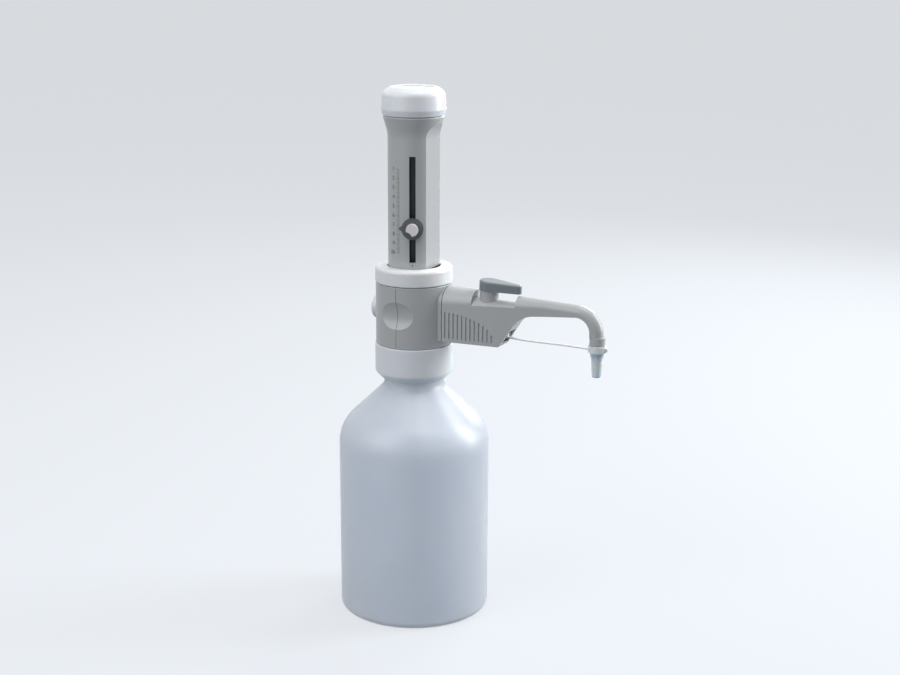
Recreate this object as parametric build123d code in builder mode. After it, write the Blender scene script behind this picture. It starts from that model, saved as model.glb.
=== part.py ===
from build123d import *
from math import cos, radians, sin, sqrt, tan
import os

os.makedirs("parts", exist_ok=True)

# A bottle-top dispenser on its bottle, in millimetres. The origin is the middle of the bottle's base,
# +Z is up, and the arm points along +X.

# Clearances
slide_gap = 0.3  # between curved faces that move past each other
running_gap = 0.05  # round a shaft in its bore
nest_gap = 0.08  # between fixed pieces that nest
face_gap = 0.2  # between flat faces of pieces that turn

# Bottle
bottle_r = 51.7
bottle_wall = 2.2
foot_round = 4.0
shoulder_z = 130.7  # where the wall's line meets the cone's
shoulder_round = 27.0
neck_r = 20.6
neck_z = 160.6  # where the cone's line meets the neck's
neck_round = 5.0
rim_z = 184.2
base_recess = 1.0  # ring-shaped recess below, round a middle pad
base_pad_r = 14.0
base_ring_r = 41.0

# Collar and the neck of the valve block
collar_r = 26.5
collar_bore_r = 22.7
collar_top_z = 189.9
collar_ledge = 2.2
collar_bottom_z = 165.2
collar_chamfer = 5.0
collar_lip_r = 21.4
gasket_thickness = 1.0
gasket_bore_r = 16.9
block_flange_r = 22.2
block_neck_r = 19.3

# Housing and valve block
housing_r = 25.9
housing_wall = 2.4
housing_top_z = 232.2
block_r = 20.4
block_top_z = 238.2
spigot_r = 21.6
spigot_foot_z = 232.8
seam_gap = 0.3
dish_z = 212.8  # finger dishes on the seams
dish_depth = 2.8
dish_round = 16.8
dish_pad_half = 11.0  # half height of the thick wall behind a dish
port_z = 212.0  # outlet and vent
port_boss_r = 6.0
port_boss_end_x = 28.0

# Safety ring
ring_r = 26.2
ring_bottom_z = 232.5
ring_top_z = 243.5
ring_web = 3.0
ring_bore_r = 18.0
ring_round = 2.4

# Measuring cylinder, piston and guard tube
bore_r = 7.15
cylinder_wall = 2.35
cylinder_foot_r = 11.2
cylinder_foot_height = 5.7
cylinder_top_z = 318.0
cylinder_seal_thickness = 1.0
guard_bore_r = 10.2
guard_r = 12.0
guard_flange = 2.1
guide_height = 3.2
piston_bottom_z = 234.5

# Operating sleeve and cap
sleeve_r = 17.4
sleeve_wall = 2.2
sleeve_bottom_z = 242.7
flare_r = 20.5
flare_bottom_z = 332.5
flare_top_z = 344.0
facet_x = 14.3  # the flat on the arm's side
facet_wall = 1.7
facet_top_z = 333.5
facet_scoop_r = 10.0
slot_angle = -65.3
slot_width = 4.2
slot_bottom_z = 247.8
slot_top_z = 318.4
peephole_z = 245.9
peephole_r = 0.45
cap_r = 21.7
cap_bottom_z = 344.3
cap_top_z = 362.6
cap_spigot_r = 14.9
cap_dish_r = 13.6
cap_dish_depth = 2.0
cover_thickness = 0.9
cover_hole_r = 0.8
cover_hole_angle = -88.0
cover_hole_reach = 9.8
stud_r = 4.0
stud_shoulder_z = 346.0
clamp_thickness = 4.0
nut_r = 7.0

# Pointer
pointer_z = 270.8
pointer_plate = 1.4
hub_r = 6.4
hub_face = 20.6  # distance of the hub's front from the sleeve's axis
beak_reach = 9.5
beak_half_height = 7.2
screw_r = 4.1
screw_thickness = 2.6
notch_r = 3.6
shank_r = 1.4
pointer_nut_height = 4.2

# Arm
arm_root_x = 26.6
arm_joint_gap = 0.5
arm_root_half = 10.9
arm_tip_half = 4.9
arm_taper_end_x = 98.0
arm_bottom_z = 195.2
ridge_root_z = 231.5
ridge_slope = 2.0  # degrees down towards the tip
heel_x = 66.8  # where the deep root ends below
heel_round = 1.5
throat_x = 81.3
throat_z = 217.5
throat_round = 18.5
under_tip_z = 221.6
inner_bend_r = 9.5
outer_bend_r = 18.2
spout_x = 133.6
arm_end_back = 3.9  # from the spout's axis to the arm's inner face
arm_end_front = 3.8
arm_end_z = 208.3
arm_wall = 2.2
cavity_top_z = 222.6
cavity_end_x = 74.0
rib_count = 12
rib_first_x = 29.0
rib_pitch = 3.0
rib_width = 1.2
rib_depth = 0.7
rib_bottom_z = 197.6
rib_rise = 18.0
rib_run = 37.0

# Lever, plug and recess
lever_x = 56.5
recess_start_x = 47.5
recess_end_x = 78.0
recess_drop = 4.8
recess_floor_r = 11.8
boss_r = 6.2
lever_lift = 1.4  # height of the lever's underside over the ridge's line
lever_head_r = 6.9
lever_tail_r = 2.5
lever_length = 20.5
lever_thickness = 6.5  # at the head; the top slopes more than the underside
lever_top_slope = 4.0
lever_round = 1.2
plug_r = 3.5
stem_r = 3.0
stem_seat = 3.6
valve_body_half = 5.0
valve_body_length = 17.5
valve_body_bottom_z = 197.5
valve_body_top_z = 222.2

# Pipes
pipe_r = 2.0
pipe_bore_r = 1.0
feed_r = 2.4
feed_bore_r = 1.2
return_z = 199.9
nut_outer_r = 8.2
nut_length = 8.0
seat_r = 4.4
seat_start_x = 13.5
seat_length = 13.5
discharge_ball_r = 2.4
discharge_travel = 1.2
spring_wire_r = 0.3
spring_coil_r = 1.9
spring_pitch = 1.3
spring_length = 6.4
pipe_rise_x = 70.0
pipe_level_x = 81.0
pipe_start_z = 217.5
pipe_level_z = 223.1
pipe_end_z = 184.8
pipe_channel_r = 2.3
rise_bend_r = 12.0
spout_bend_r = 13.8
pipe_spout_z = 224.35  # where the level run's line meets the spout's

# Spout and cap
spout_r = 5.2
spout_collar_bottom_z = 203.4
spout_thread_r = 4.1
spout_thread_bottom_z = 197.0
spout_spigot_r = 2.9
spout_spigot_height = 3.0
strap_ring_r = 6.05
strap_ring_bottom_z = 198.6
strap_ring_height = 4.0
tip_shank_r = 4.95
tip_skirt_r = 4.75
tip_cone_bottom_z = 192.8
tip_tube_r = 3.65
tip_end_r = 3.1
tip_bottom_z = 181.6
tip_round = 1.3
tip_wall = 1.1
tip_bead_r = 5.5
tip_bead_height = 0.4
strap_width = 2.8
strap_thickness = 0.9
strap_sag_z = 200.4
strap_end_z = 200.0
strap_pin_x = 68.6
strap_pin_z = 203.0
strap_pin_r = 1.0
strap_eye_r = 2.1

# Suction side
intake_r = 8.0
intake_top_z = 180.4
intake_bottom_z = 166.0
intake_ball_r = 2.6
intake_travel = 1.2
tube_r = 2.8
tube_wall = 0.7
tube_upper_bottom_z = 75.0
tube_lower_top_z = 88.0
tube_lower_bottom_z = 8.0
tube_push_on = 6.0
return_offset = 11.2
return_tube_bottom_z = 148.0

# Vent
vent_cap_r = 8.4
vent_cap_face_x = 29.1
vent_cap_depth = 5.2
vent_nipple_r = 4.6
vent_bore_r = 2.6

# Dependent places
ledge_z = collar_top_z - collar_ledge
gasket_top_z = rim_z + gasket_thickness
block_bottom_z = intake_top_z + slide_gap
housing_bottom_z = collar_top_z + face_gap
cylinder_r = bore_r + cylinder_wall
piston_r = bore_r - running_gap
cylinder_foot_z = block_top_z - cylinder_foot_height
pocket_floor_z = cylinder_foot_z - cylinder_seal_thickness
guard_top_z = cylinder_top_z + slide_gap
sleeve_bore_r = sleeve_r - sleeve_wall
facet_inside_x = facet_x - facet_wall
slope = radians(ridge_slope)
arm_inner_x = spout_x - arm_end_back
arm_outer_x = spout_x + arm_end_front
seat_end_x = seat_start_x + seat_length
neck_bore_r = neck_r - bottle_wall


def ridge_z(x):
    """Height of the arm's ridge line."""
    return ridge_root_z - (x - arm_root_x) * tan(slope)


def arm_half(x):
    """Half width of the arm, which narrows from its root and then stays."""
    share = min(max((x - arm_root_x) / (arm_taper_end_x - arm_root_x), 0), 1)
    return arm_root_half + share * (arm_tip_half - arm_root_half)


def outline(*corners):
    """Fills a closed outline; a corner's third value rounds it."""
    with BuildSketch() as shape:
        Polygon(*[corner[:2] for corner in corners], align=None)
        for corner in corners:
            if len(corner) > 2:
                fillet(shape.vertices().sort_by_distance((*corner[:2], 0))[0], corner[2])
    add(shape.sketch_local)


def arched(half, top, bottom):
    """Fills an arm section: upright sides and a half round on top."""
    with BuildLine() as line:
        Line((-half, top - half), (-half, bottom))
        Line((-half, bottom), (half, bottom))
        Line((half, bottom), (half, top - half))
        RadiusArc((half, top - half), (-half, top - half), -half)
    make_face(line.edges())


port_axis = Axis((0, 0, port_z), (1, 0, 0))
spout_axis = Axis((spout_x, 0, 0), (0, 0, 1))
slot_plane = Plane(
    origin=(0, 0, 0),
    x_dir=(-sin(radians(slot_angle)), cos(radians(slot_angle)), 0),
    z_dir=(cos(radians(slot_angle)), sin(radians(slot_angle)), 0),
)
lever_base_z = ridge_z(lever_x) + lever_lift
recess_run = (cos(slope), 0, -sin(slope))  # direction of the ridge
lever_plane = Plane(origin=(lever_x, 0, lever_base_z), x_dir=recess_run, z_dir=(sin(slope), 0, cos(slope)))
pipe_start_x = lever_x + valve_body_length / 2 - 2
strap_end_x = spout_x - strap_ring_r - slide_gap
strap_middle_x = (strap_pin_x + strap_end_x) / 2
pin_half = arm_half(strap_pin_x) - arm_wall + 1.4

with BuildLine() as pipe_line:
    FilletPolyline(
        (pipe_start_x, 0, pipe_start_z),
        (pipe_rise_x, 0, pipe_start_z),
        (pipe_level_x, 0, pipe_level_z),
        (spout_x, 0, pipe_spout_z),
        (spout_x, 0, pipe_end_z),
        radius=[rise_bend_r, rise_bend_r, spout_bend_r],
    )


# Bottle
with BuildPart() as bottle:
    with BuildSketch(Plane.XZ):
        outline(
            (0, 0),
            (base_pad_r, 0),
            (base_pad_r + base_recess, base_recess),
            (base_ring_r - base_recess, base_recess),
            (base_ring_r, 0),
            (bottle_r, 0, foot_round),
            (bottle_r, shoulder_z, shoulder_round),
            (neck_r, neck_z, neck_round),
            (neck_r, rim_z),
            (neck_bore_r, rim_z),
            (neck_bore_r, neck_z + bottle_wall * 0.6, neck_round),
            (bottle_r - bottle_wall, shoulder_z - bottle_wall * 0.4, shoulder_round - bottle_wall),
            (bottle_r - bottle_wall, bottle_wall + base_recess, foot_round),
            (0, bottle_wall + base_recess),
        )
    revolve(axis=Axis.Z)

# Neck gasket
with BuildPart() as neck_gasket:
    with BuildSketch(Plane.XY.offset(rim_z)):
        Circle(neck_r + 0.6)
        Circle(gasket_bore_r, mode=Mode.SUBTRACT)
    extrude(amount=gasket_thickness)

# Threaded collar
with BuildPart() as threaded_collar:
    with BuildSketch(Plane.XZ):
        outline(
            (collar_lip_r, collar_bottom_z),
            (collar_r, collar_bottom_z + collar_chamfer, 3),
            (collar_r, collar_top_z, 0.5),
            (block_neck_r + slide_gap, collar_top_z),
            (block_neck_r + slide_gap, ledge_z),
            (collar_bore_r, ledge_z),
            (collar_bore_r, collar_bottom_z + 2),
            (collar_lip_r, collar_bottom_z + 1),
        )
    revolve(axis=Axis.Z)

# Valve block
with BuildPart() as valve_block:
    with BuildSketch(Plane.XZ):
        outline(
            (0, block_bottom_z),
            (gasket_bore_r - slide_gap, block_bottom_z, 1),
            (gasket_bore_r - slide_gap, gasket_top_z),
            (block_flange_r, gasket_top_z),
            (block_flange_r, ledge_z - face_gap),
            (block_neck_r, ledge_z - face_gap),
            (block_neck_r, housing_bottom_z + housing_wall),
            (block_r, housing_bottom_z + housing_wall),
            (block_r, spigot_foot_z - 3),
            (block_r, spigot_foot_z),
            (spigot_r, spigot_foot_z),
            (spigot_r, block_top_z, 0.6),
            (0, block_top_z),
        )
    revolve(axis=Axis.Z)
    with BuildSketch(Plane.YZ.offset(block_r - 6)):
        with Locations((0, port_z)):
            Circle(port_boss_r)
    extrude(amount=port_boss_end_x - block_r + 6)
    with BuildSketch(Plane.YZ.offset(-vent_cap_face_x + vent_cap_depth - 3.5)):
        with Locations((0, port_z)):
            Circle(vent_nipple_r)
    extrude(amount=8)
    # pocket and suction channel under the cylinder
    with BuildSketch(Plane.XY.offset(block_top_z)):
        Circle(cylinder_foot_r + nest_gap)
    extrude(amount=pocket_floor_z - block_top_z, mode=Mode.SUBTRACT)
    with BuildSketch(Plane.XY.offset(block_bottom_z)):
        Circle(feed_r)
    extrude(amount=pocket_floor_z - block_bottom_z, mode=Mode.SUBTRACT)
    # outlet with the seat's bore
    with BuildSketch(Plane.YZ):
        with Locations((0, port_z)):
            Circle(pipe_r)
    extrude(amount=port_boss_end_x + 1, mode=Mode.SUBTRACT)
    with BuildSketch(Plane.YZ.offset(seat_start_x)):
        with Locations((0, port_z)):
            Circle(seat_r + nest_gap)
    extrude(amount=seat_length + 5, mode=Mode.SUBTRACT)
    # return channel and its socket
    with BuildSketch(Plane.XY.offset(block_bottom_z)):
        with Locations((return_offset, 0)):
            Circle(pipe_bore_r)
    extrude(amount=return_z - block_bottom_z, mode=Mode.SUBTRACT)
    with BuildSketch(Plane.YZ.offset(return_offset)):
        with Locations((0, return_z)):
            Circle(pipe_bore_r)
    extrude(amount=block_r - return_offset + 1, mode=Mode.SUBTRACT)
    with BuildSketch(Plane.YZ.offset(block_r - 4)):
        with Locations((0, return_z)):
            Circle(pipe_r + nest_gap)
    extrude(amount=6, mode=Mode.SUBTRACT)
    # socket of the recirculation tube
    with BuildSketch(Plane.XY.offset(block_bottom_z)):
        with Locations((return_offset, 0)):
            Circle(pipe_r + nest_gap)
    extrude(amount=4, mode=Mode.SUBTRACT)
    # vent channel from the bottle to the vent
    with BuildSketch(Plane.YZ.offset(-vent_cap_face_x - 1)):
        with Locations((0, port_z)):
            Circle(vent_bore_r)
    extrude(amount=vent_cap_face_x + 1 - return_offset, mode=Mode.SUBTRACT)
    with BuildSketch(Plane.XY.offset(block_bottom_z)):
        with Locations((-return_offset - 1, 0)):
            Circle(pipe_r)
    extrude(amount=port_z - block_bottom_z, mode=Mode.SUBTRACT)

# Housing halves: one shell, cut at the seams
housing_cavity_r = housing_r - housing_wall
with BuildPart() as housing:
    with BuildSketch(Plane.XZ):
        outline(
            (block_neck_r + slide_gap, housing_bottom_z),
            (housing_r, housing_bottom_z, 0.5),
            (housing_r, housing_top_z, 0.6),
            (block_r + nest_gap, housing_top_z),
            (block_r + nest_gap, housing_top_z - housing_wall),
            (housing_cavity_r, housing_top_z - housing_wall),
            (housing_cavity_r, housing_bottom_z + housing_wall),
            (block_neck_r + slide_gap, housing_bottom_z + housing_wall),
        )
    revolve(axis=Axis.Z)
    # flange that the arm starts from
    with BuildSketch(Plane.YZ.offset(housing_cavity_r - 2)):
        arched(arm_root_half, ridge_root_z, arm_bottom_z)
    extrude(amount=arm_root_x - arm_joint_gap - housing_cavity_r + 2)
    with BuildSketch(Plane.YZ.offset(block_r - 1)):
        with Locations((0, port_z)):
            Circle(nut_outer_r + slide_gap)
        with Locations((0, return_z)):
            Circle(pipe_r + slide_gap)
    extrude(amount=arm_root_x - block_r + 2, mode=Mode.SUBTRACT)
    with BuildSketch(Plane.XY.offset(housing_bottom_z + housing_wall)):
        Circle(housing_cavity_r)
    extrude(amount=housing_top_z - housing_bottom_z - 2 * housing_wall, mode=Mode.SUBTRACT)
    # thick wall behind the finger dishes
    with BuildSketch(Plane.XY.offset(dish_z - dish_pad_half)):
        Circle(housing_cavity_r + 0.5)
        Rectangle(2 * housing_r, 2 * (block_r + slide_gap), mode=Mode.SUBTRACT)
    extrude(amount=2 * dish_pad_half)
    # round seat of the vent cap
    with BuildSketch(Plane.YZ.offset(-housing_cavity_r + 2)):
        with Locations((0, port_z)):
            Circle(vent_cap_r + 2)
    extrude(until=Until.NEXT, dir=(-1, 0, 0))
    with BuildSketch(Plane.YZ.offset(-vent_cap_face_x)):
        with Locations((0, port_z)):
            Circle(vent_cap_r + slide_gap)
    extrude(amount=vent_cap_depth + slide_gap, mode=Mode.SUBTRACT)
    with BuildSketch(Plane.YZ.offset(-vent_cap_face_x)):
        with Locations((0, port_z)):
            Circle(vent_nipple_r + nest_gap)
    extrude(amount=vent_cap_face_x - block_r + 2, mode=Mode.SUBTRACT)
    # finger dishes on both seams
    dish_centre_y = housing_r - dish_depth + dish_round
    for side in (-1, 1):
        with BuildSketch(Plane.YZ.offset(-housing_r)):
            with Locations((side * dish_centre_y, dish_z)):
                Circle(dish_round)
        extrude(amount=2 * housing_r, mode=Mode.SUBTRACT)

with BuildPart() as housing_arm_half:
    add(housing.part)
    split(bisect_by=Plane.YZ.offset(seam_gap / 2), keep=Keep.TOP)

with BuildPart() as housing_vent_half:
    add(housing.part)
    split(bisect_by=Plane.YZ.offset(-seam_gap / 2), keep=Keep.BOTTOM)

# Vent cap
with BuildPart() as vent_cap:
    with BuildSketch(Plane.XZ):
        outline(
            (-vent_cap_face_x, port_z),
            (-vent_cap_face_x, port_z + vent_cap_r, 1.2),
            (-vent_cap_face_x + vent_cap_depth, port_z + vent_cap_r),
            (-vent_cap_face_x + vent_cap_depth, port_z + vent_nipple_r + slide_gap),
            (-vent_cap_face_x + 1.5, port_z + vent_nipple_r + slide_gap),
            (-vent_cap_face_x + 1.5, port_z + vent_bore_r - running_gap),
            (-vent_cap_face_x + vent_cap_depth, port_z + vent_bore_r - running_gap, 0.4),
            (-vent_cap_face_x + vent_cap_depth, port_z),
        )
    revolve(axis=port_axis)

# Safety ring
with BuildPart() as safety_ring:
    with BuildSketch(Plane.XZ):
        outline(
            (spigot_r + slide_gap, ring_bottom_z),
            (ring_r, ring_bottom_z, 0.8),
            (ring_r, ring_top_z, ring_round),
            (ring_bore_r, ring_top_z, 0.5),
            (ring_bore_r, ring_top_z - ring_web),
            (spigot_r + slide_gap, ring_top_z - ring_web),
        )
    revolve(axis=Axis.Z)

# Cylinder seal, cylinder, piston
with BuildPart() as cylinder_seal:
    with BuildSketch(Plane.XY.offset(pocket_floor_z)):
        Circle(cylinder_foot_r)
        Circle(feed_r + 1, mode=Mode.SUBTRACT)
    extrude(amount=cylinder_seal_thickness)

with BuildPart() as cylinder:
    with BuildSketch(Plane.XZ):
        outline(
            (bore_r, cylinder_foot_z),
            (cylinder_foot_r, cylinder_foot_z),
            (cylinder_foot_r, block_top_z),
            (cylinder_r, block_top_z),
            (cylinder_r, cylinder_top_z, 0.8),
            (bore_r, cylinder_top_z, 0.8),
        )
    revolve(axis=Axis.Z)

with BuildPart() as guard_tube:
    with BuildSketch(Plane.XZ):
        outline(
            (guard_bore_r, block_top_z),
            (spigot_r - 0.2, block_top_z),
            (spigot_r - 0.2, block_top_z + guard_flange),
            (guard_r, block_top_z + guard_flange, 0.6),
            (guard_r, guard_top_z),
            (guard_bore_r, guard_top_z),
        )
    revolve(axis=Axis.Z)

with BuildPart() as sleeve_guide:
    with BuildSketch(Plane.XY.offset(guard_top_z)):
        Circle(sleeve_bore_r - slide_gap)
        with Locations((facet_inside_x - slide_gap, 0)):
            Rectangle(2 * sleeve_r, 2 * sleeve_r, align=(Align.MIN, Align.CENTER), mode=Mode.SUBTRACT)
        Circle(bore_r + slide_gap, mode=Mode.SUBTRACT)
        with Locations(Rotation(0, 0, slot_angle) * Location((guard_r, 0))):
            Rectangle(sleeve_r, slot_width + 4, align=(Align.MIN, Align.CENTER), mode=Mode.SUBTRACT)
    extrude(amount=guide_height)

with BuildPart() as piston:
    with BuildSketch(Plane.XZ):
        outline(
            (0, piston_bottom_z),
            (piston_r, piston_bottom_z, 0.8),
            (piston_r, stud_shoulder_z),
            (stud_r, stud_shoulder_z),
            (stud_r, stud_shoulder_z + clamp_thickness + 7, 0.5),
            (0, stud_shoulder_z + clamp_thickness + 7),
        )
    revolve(axis=Axis.Z)

# Operating sleeve
with BuildPart() as operating_sleeve:
    with BuildSketch(Plane.XZ):
        outline(
            (0, sleeve_bottom_z),
            (sleeve_r, sleeve_bottom_z, 0.5),
            (sleeve_r, flare_bottom_z, 20),
            (flare_r, flare_top_z - 1),
            (flare_r - 0.6, flare_top_z),
            (0, flare_top_z),
        )
    revolve(axis=Axis.Z)
    # flat on the arm's side, which ends above in a scoop
    with BuildSketch(Plane.XZ.offset(-sleeve_r)):
        outline(
            (facet_x, sleeve_bottom_z - 1),
            (facet_x, facet_top_z, facet_scoop_r),
            (flare_r + 1.5, flare_top_z - 1.6),
            (flare_r + 5, flare_top_z - 1.6),
            (flare_r + 5, sleeve_bottom_z - 1),
        )
    extrude(amount=2 * sleeve_r, mode=Mode.SUBTRACT)
    # inside, round with a flat behind the facet
    with BuildSketch(Plane.XY.offset(sleeve_bottom_z)):
        Circle(sleeve_bore_r)
        with Locations((facet_inside_x, 0)):
            Rectangle(2 * sleeve_r, 2 * sleeve_r, align=(Align.MIN, Align.CENTER), mode=Mode.SUBTRACT)
    extrude(amount=flare_top_z - sleeve_bottom_z, mode=Mode.SUBTRACT)
    # slot with round ends
    with BuildSketch(slot_plane):
        with Locations((0, (slot_bottom_z + slot_top_z) / 2)):
            Rectangle(slot_width, slot_top_z - slot_bottom_z)
    extrude(amount=2 * sleeve_r, mode=Mode.SUBTRACT)
    with BuildSketch(slot_plane):
        with Locations((0, peephole_z)):
            Circle(peephole_r)
    extrude(amount=2 * sleeve_r, mode=Mode.SUBTRACT)

# Cap and what it holds
cap_ledge_z = stud_shoulder_z + clamp_thickness
cap_floor_z = cap_top_z - cap_dish_depth
with BuildPart() as top_cap:
    with BuildSketch(Plane.XZ):
        outline(
            (cap_spigot_r - 2, cap_bottom_z - 6),
            (cap_spigot_r, cap_bottom_z - 6),
            (cap_spigot_r, cap_bottom_z),
            (cap_r - 1.0, cap_bottom_z),
            (cap_r, cap_bottom_z + 3.7, 3),
            (cap_r - 0.9, cap_top_z - 3.4, 5),
            (cap_dish_r + 2.2, cap_top_z, 3),
            (cap_dish_r, cap_top_z, 0.6),
            (cap_dish_r, cap_floor_z),
            (nut_r + 1, cap_floor_z),
            (nut_r + 1, cap_floor_z - 2.5),
            (nut_r + 3, cap_floor_z - 2.5),
            (nut_r + 3, cap_ledge_z),
            (cap_spigot_r - 2, cap_ledge_z),
        )
    revolve(axis=Axis.Z)
    with BuildSketch(Plane.XY.offset(cap_bottom_z)):
        with Locations((facet_inside_x - nest_gap, 0)):
            Rectangle(cap_spigot_r, 2 * cap_spigot_r, align=(Align.MIN, Align.CENTER))
    extrude(amount=-7, mode=Mode.SUBTRACT)

with BuildPart() as piston_clamp:
    with BuildSketch(Plane.XY.offset(stud_shoulder_z)):
        Circle(cap_spigot_r - 2 - nest_gap)
        Circle(stud_r + nest_gap, mode=Mode.SUBTRACT)
    extrude(amount=clamp_thickness)

with BuildPart() as calibration_nut:
    with BuildSketch(Plane.XY.offset(cap_ledge_z)):
        Circle(nut_r)
        Circle(stud_r + running_gap, mode=Mode.SUBTRACT)
    extrude(amount=cap_floor_z - cap_ledge_z - 0.4)
    with BuildSketch(Plane.XY.offset(cap_floor_z - 0.4)):
        Rectangle(3 * nut_r, 1.6)
    extrude(amount=-1.4, mode=Mode.SUBTRACT)

with BuildPart() as calibration_cover:
    with BuildSketch(Plane.XY.offset(cap_floor_z)):
        Circle(cap_dish_r - slide_gap)
        with Locations(Rotation(0, 0, cover_hole_angle) * Location((cover_hole_reach, 0))):
            Circle(cover_hole_r, mode=Mode.SUBTRACT)
    extrude(amount=cover_thickness)

# Pointer, with its beak towards the scale
with BuildPart() as pointer:
    with BuildSketch(slot_plane):
        with Locations((0, pointer_z)):
            Circle(beak_half_height)
        outline((0, pointer_z + beak_half_height), (-beak_reach, pointer_z), (0, pointer_z - beak_half_height))
    extrude(amount=2 * sleeve_r)
    with BuildSketch(Plane.XY.offset(pointer_z - 2 * beak_half_height)):
        Circle(sleeve_r + slide_gap + pointer_plate)
        Circle(sleeve_r + slide_gap, mode=Mode.SUBTRACT)
    extrude(amount=4 * beak_half_height, mode=Mode.INTERSECT)
    with BuildSketch(slot_plane.offset(sleeve_r - 2)):
        with Locations((0, pointer_z)):
            Circle(hub_r)
    extrude(amount=hub_face - sleeve_r + 2)
    with BuildSketch(Plane.XY.offset(pointer_z - 2 * beak_half_height)):
        Circle(sleeve_r + slide_gap)
    extrude(amount=4 * beak_half_height, mode=Mode.SUBTRACT)
    with BuildSketch(slot_plane):
        with Locations((0, pointer_z)):
            Circle(shank_r + running_gap)
    extrude(amount=2 * sleeve_r, mode=Mode.SUBTRACT)

screw_start = sleeve_bore_r - 1.4
with BuildPart() as pointer_screw:
    with BuildSketch(slot_plane.offset(hub_face + running_gap)):
        with Locations((0, pointer_z)):
            Circle(screw_r)
        with Locations((-screw_r * 0.95, pointer_z - screw_r * 1.2)):
            Circle(notch_r, mode=Mode.SUBTRACT)
    extrude(amount=screw_thickness)
    with BuildSketch(slot_plane.offset(screw_start)):
        with Locations((0, pointer_z)):
            Circle(shank_r)
    extrude(amount=hub_face - screw_start + 1)

with BuildPart() as pointer_nut:
    with BuildSketch(slot_plane.offset(guard_r + slide_gap)):
        with Locations((0, pointer_z)):
            Rectangle(slot_width + 3, pointer_nut_height)
    extrude(amount=sleeve_bore_r - guard_r - 2 * slide_gap - 0.5)
    with BuildSketch(slot_plane.offset(guard_r + slide_gap + 1)):
        with Locations((0, pointer_z)):
            Rectangle(slot_width - 2 * running_gap, pointer_nut_height)
    extrude(amount=sleeve_r - guard_r - slide_gap - 1)
    with BuildSketch(slot_plane):
        with Locations((0, pointer_z)):
            Circle(shank_r + running_gap)
    extrude(amount=2 * sleeve_r, mode=Mode.SUBTRACT)

# Suction side: intake valve, ball and tubes
ball_seat_z = intake_bottom_z + 5.0
intake_ball_z = ball_seat_z + intake_ball_r * 0.9
with BuildPart() as intake_valve_body:
    with BuildSketch(Plane.XZ):
        outline(
            (tube_r - tube_wall, intake_bottom_z + 2.6),
            (tube_r + nest_gap, intake_bottom_z + 2.6),
            (tube_r + nest_gap, intake_bottom_z),
            (intake_r - 3, intake_bottom_z, 0.6),
            (intake_r - 3, intake_bottom_z + 4),
            (intake_r, intake_bottom_z + 5),
            (intake_r, intake_top_z + slide_gap, 0.6),
            (feed_r + 1, intake_top_z + slide_gap),
            (intake_ball_r + 0.5, intake_ball_z + intake_ball_r + intake_travel + 0.5),
            (intake_ball_r + 0.5, intake_ball_z),
            (tube_r - tube_wall, ball_seat_z - 0.3),
        )
    revolve(axis=Axis.Z)

with BuildPart() as intake_ball:
    with Locations((0, 0, intake_ball_z + 0.35)):
        Sphere(intake_ball_r)

tube_bore_r = tube_r - tube_wall
with BuildPart() as filling_tube_upper:
    with BuildSketch(Plane.XY.offset(tube_upper_bottom_z)):
        Circle(tube_r)
        Circle(tube_bore_r, mode=Mode.SUBTRACT)
    extrude(amount=intake_bottom_z + 2.6 - tube_upper_bottom_z)

with BuildPart() as filling_tube_lower:
    with BuildSketch(Plane.XY.offset(tube_lower_bottom_z)):
        Circle(tube_bore_r - running_gap)
        Circle(tube_bore_r - tube_wall, mode=Mode.SUBTRACT)
    extrude(amount=tube_lower_top_z - tube_lower_bottom_z)
    # slanted foot, so that it can't seal on the bottle's floor
    with BuildSketch(Plane.XZ.offset(-2 * tube_r)):
        outline(
            (-2 * tube_r, tube_lower_bottom_z - 1),
            (2 * tube_r, tube_lower_bottom_z - 1),
            (2 * tube_r, tube_lower_bottom_z + 2 * tube_r),
        )
    extrude(amount=4 * tube_r, mode=Mode.SUBTRACT)

with BuildPart() as recirculation_tube:
    with BuildSketch(Plane.XY.offset(return_tube_bottom_z)):
        with Locations((return_offset, 0)):
            Circle(pipe_r)
            Circle(pipe_bore_r, mode=Mode.SUBTRACT)
    extrude(amount=block_bottom_z + 4 - return_tube_bottom_z)

# Outlet: seat, ball, spring, o-ring, nut and pipes
discharge_ball_x = seat_start_x + 3.0 + discharge_ball_r
with BuildPart() as discharge_valve_seat:
    with BuildSketch(Plane.XZ):
        outline(
            (seat_start_x, port_z + pipe_bore_r + 0.4),
            (seat_start_x, port_z + seat_r),
            (seat_end_x, port_z + seat_r),
            (seat_end_x, port_z + discharge_ball_r + 0.4),
            (discharge_ball_x - 0.4, port_z + discharge_ball_r + 0.4),
            (seat_start_x + 1.6, port_z + pipe_bore_r + 0.4),
        )
    revolve(axis=port_axis)

with BuildPart() as discharge_ball:
    with Locations((discharge_ball_x, 0, port_z)):
        Sphere(discharge_ball_r)

spring_start_x = discharge_ball_x + 2.2
with BuildPart() as discharge_spring:
    with BuildLine() as coil:
        Helix(spring_pitch, spring_length, spring_coil_r, center=(spring_start_x, 0, port_z), direction=(1, 0, 0))
    with BuildSketch(Plane(origin=coil.line @ 0, z_dir=coil.line % 0)):
        Circle(spring_wire_r)
    sweep(path=coil.line)

nut_start_x = port_boss_end_x - nut_length + 3.5
feed_flange_x = port_boss_end_x + 1.0
with BuildPart() as coupling_nut:
    with BuildSketch(Plane.XZ):
        outline(
            (nut_start_x, port_z + port_boss_r + nest_gap),
            (nut_start_x, port_z + nut_outer_r, 0.5),
            (nut_start_x + nut_length, port_z + nut_outer_r, 0.5),
            (nut_start_x + nut_length, port_z + feed_r + nest_gap),
            (feed_flange_x + 1.2, port_z + feed_r + nest_gap),
            (feed_flange_x + 1.2, port_z + port_boss_r + nest_gap),
        )
    revolve(axis=port_axis)

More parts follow.
